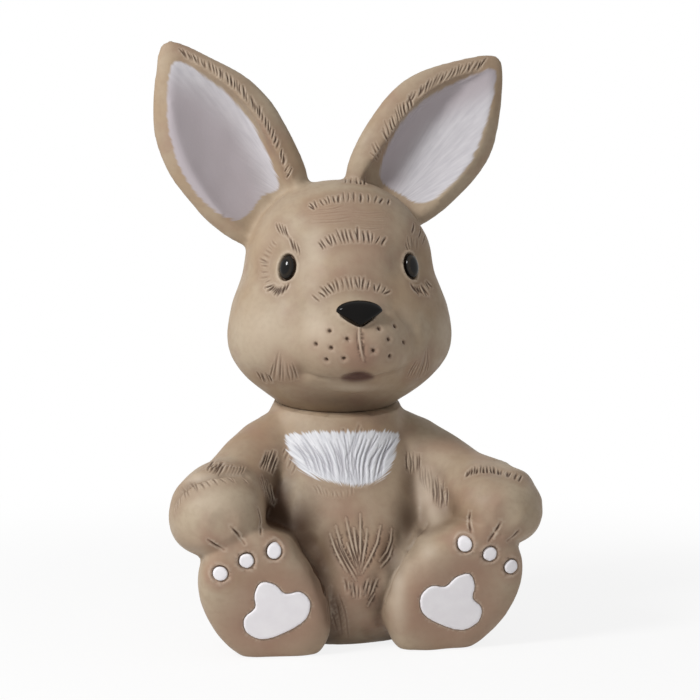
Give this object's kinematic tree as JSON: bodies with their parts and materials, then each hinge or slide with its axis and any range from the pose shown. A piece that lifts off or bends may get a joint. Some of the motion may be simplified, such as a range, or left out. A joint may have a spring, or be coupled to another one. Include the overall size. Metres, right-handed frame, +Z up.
{
  "type": "hare figurine",
  "caption": "Seated hare figurine: upright cupped ears, broad cheeks, round belly, paws resting on forward-facing feet with pale pads, and a head that turns on its neck.",
  "frame": {"origin": "on the table under the middle of the neck, on the flat base of the body", "axes": "+Z up, the face and soles towards -Y, the hare's own left at +X"},
  "size_m": [0.1748, 0.1312, 0.2807],
  "materials": {
    "body_vinyl": "matte hand-painted taupe",
    "pad_white": "matte off-white",
    "gloss_black": "high gloss",
    "plug_plastic": "bare moulded plastic"
  },
  "bodies": {
    "body": {"torso_shell": "body_vinyl", "tail": "body_vinyl", "arm_left": "body_vinyl", "arm_right": "body_vinyl", "leg_left": "body_vinyl", "leg_right": "body_vinyl", "sole_pad_left": "pad_white", "sole_pad_right": "pad_white", "toe_pad_left_1": "pad_white", "toe_pad_left_2": "pad_white", "toe_pad_left_3": "pad_white", "toe_pad_right_1": "pad_white", "toe_pad_right_2": "pad_white", "toe_pad_right_3": "pad_white"},
    "head": {"head_shell": "body_vinyl", "neck_plug": "plug_plastic", "ear_left": "body_vinyl", "ear_right": "body_vinyl", "nose": "gloss_black", "eye_left": "gloss_black", "eye_right": "gloss_black"}
  },
  "joints": [
    {"name": "head_swivel", "type": "hinge", "parent": "body", "child": "head", "pos_m": [0, 0, 0.111], "axis": [0, -0.1564, 0.9877], "continuous": true}
  ]
}
